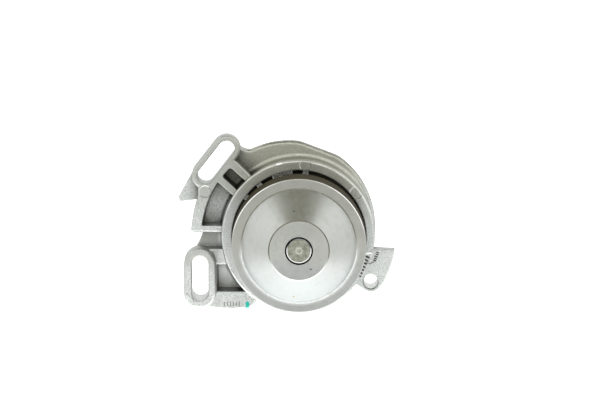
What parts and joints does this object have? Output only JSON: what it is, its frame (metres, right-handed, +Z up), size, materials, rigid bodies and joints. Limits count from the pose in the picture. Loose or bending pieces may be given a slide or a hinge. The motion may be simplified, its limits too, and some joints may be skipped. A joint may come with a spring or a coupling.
{
  "type": "water pump",
  "caption": "Timing-belt water pump: cast housing with two slotted ears and a pivot ear, cone-fronted drum pulley, sealed shaft bearing, face seal and vaned impeller.",
  "frame": {"origin": "on the shaft axis, in the plane of the machined face that bolts to the engine", "axes": "+Y along the shaft axis out of the machined face towards the engine, +Z up, +X to the right seen from the pulley side"},
  "size_m": [0.1308, 0.0985, 0.1098],
  "materials": {
    "cast_aluminium": "as cast, fine shot-blasted grain",
    "sealing_rubber": "moulded, matte black",
    "bearing_steel": "ground",
    "bearing_seal_rubber": "moulded, matte",
    "polished_steel": "polished",
    "cage_nylon": "moulded nylon, natural colour",
    "ground_steel": "ground, faced end",
    "turned_steel": "fine turned, satin",
    "zinc_steel": "pressed, zinc plated",
    "brass_sheet": "drawn sheet",
    "spring_steel": "drawn wire",
    "carbon_graphite": "lapped carbon graphite",
    "white_ceramic": "lapped alumina ceramic",
    "impeller_plastic": "moulded, glass filled",
    "machined_brass": "turned"
  },
  "bodies": {
    "housing_body": {"housing": "cast_aluminium", "mounting_o_ring": "sealing_rubber", "bearing_outer_ring": "bearing_steel", "bearing_front_seal": "bearing_seal_rubber", "bearing_rear_seal": "bearing_seal_rubber", "seal_cup": "brass_sheet", "seal_spring": "spring_steel", "seal_bellows": "sealing_rubber"},
    "rotor": {"shaft": "ground_steel", "pulley": "turned_steel", "slinger": "zinc_steel", "ceramic_ring": "white_ceramic", "ceramic_ring_boot": "sealing_rubber", "impeller": "impeller_plastic", "impeller_insert": "machined_brass"},
    "ball_set": {"bearing_balls": "polished_steel", "ball_cage": "cage_nylon"},
    "roller_set": {"bearing_rollers": "polished_steel", "roller_cage": "cage_nylon"},
    "seal_face": {"carbon_carrier": "brass_sheet", "carbon_ring": "carbon_graphite"}
  },
  "joints": [
    {"name": "shaft_spin", "type": "hinge", "parent": "housing_body", "child": "rotor", "pos_m": [0, 0, 0], "axis": [0, 1, 0], "continuous": true},
    {"name": "ball_set_spin", "type": "hinge", "parent": "housing_body", "child": "ball_set", "pos_m": [0, -0.022, 0], "axis": [0, 1, 0], "continuous": true},
    {"name": "roller_set_spin", "type": "hinge", "parent": "housing_body", "child": "roller_set", "pos_m": [0, -0.0415, 0], "axis": [0, 1, 0], "continuous": true},
    {"name": "seal_face_float", "type": "slide", "parent": "housing_body", "child": "seal_face", "axis": [0, 1, 0], "range_m": [-0.001, 0], "stiffness_N_per_m": 2000, "deforming": ["seal_spring", "seal_bellows"]}
  ],
  "couplings": [
    {"joint": "ball_set_spin", "follows": "shaft_spin", "ratio": 0.3455},
    {"joint": "roller_set_spin", "follows": "shaft_spin", "ratio": 0.3806}
  ]
}
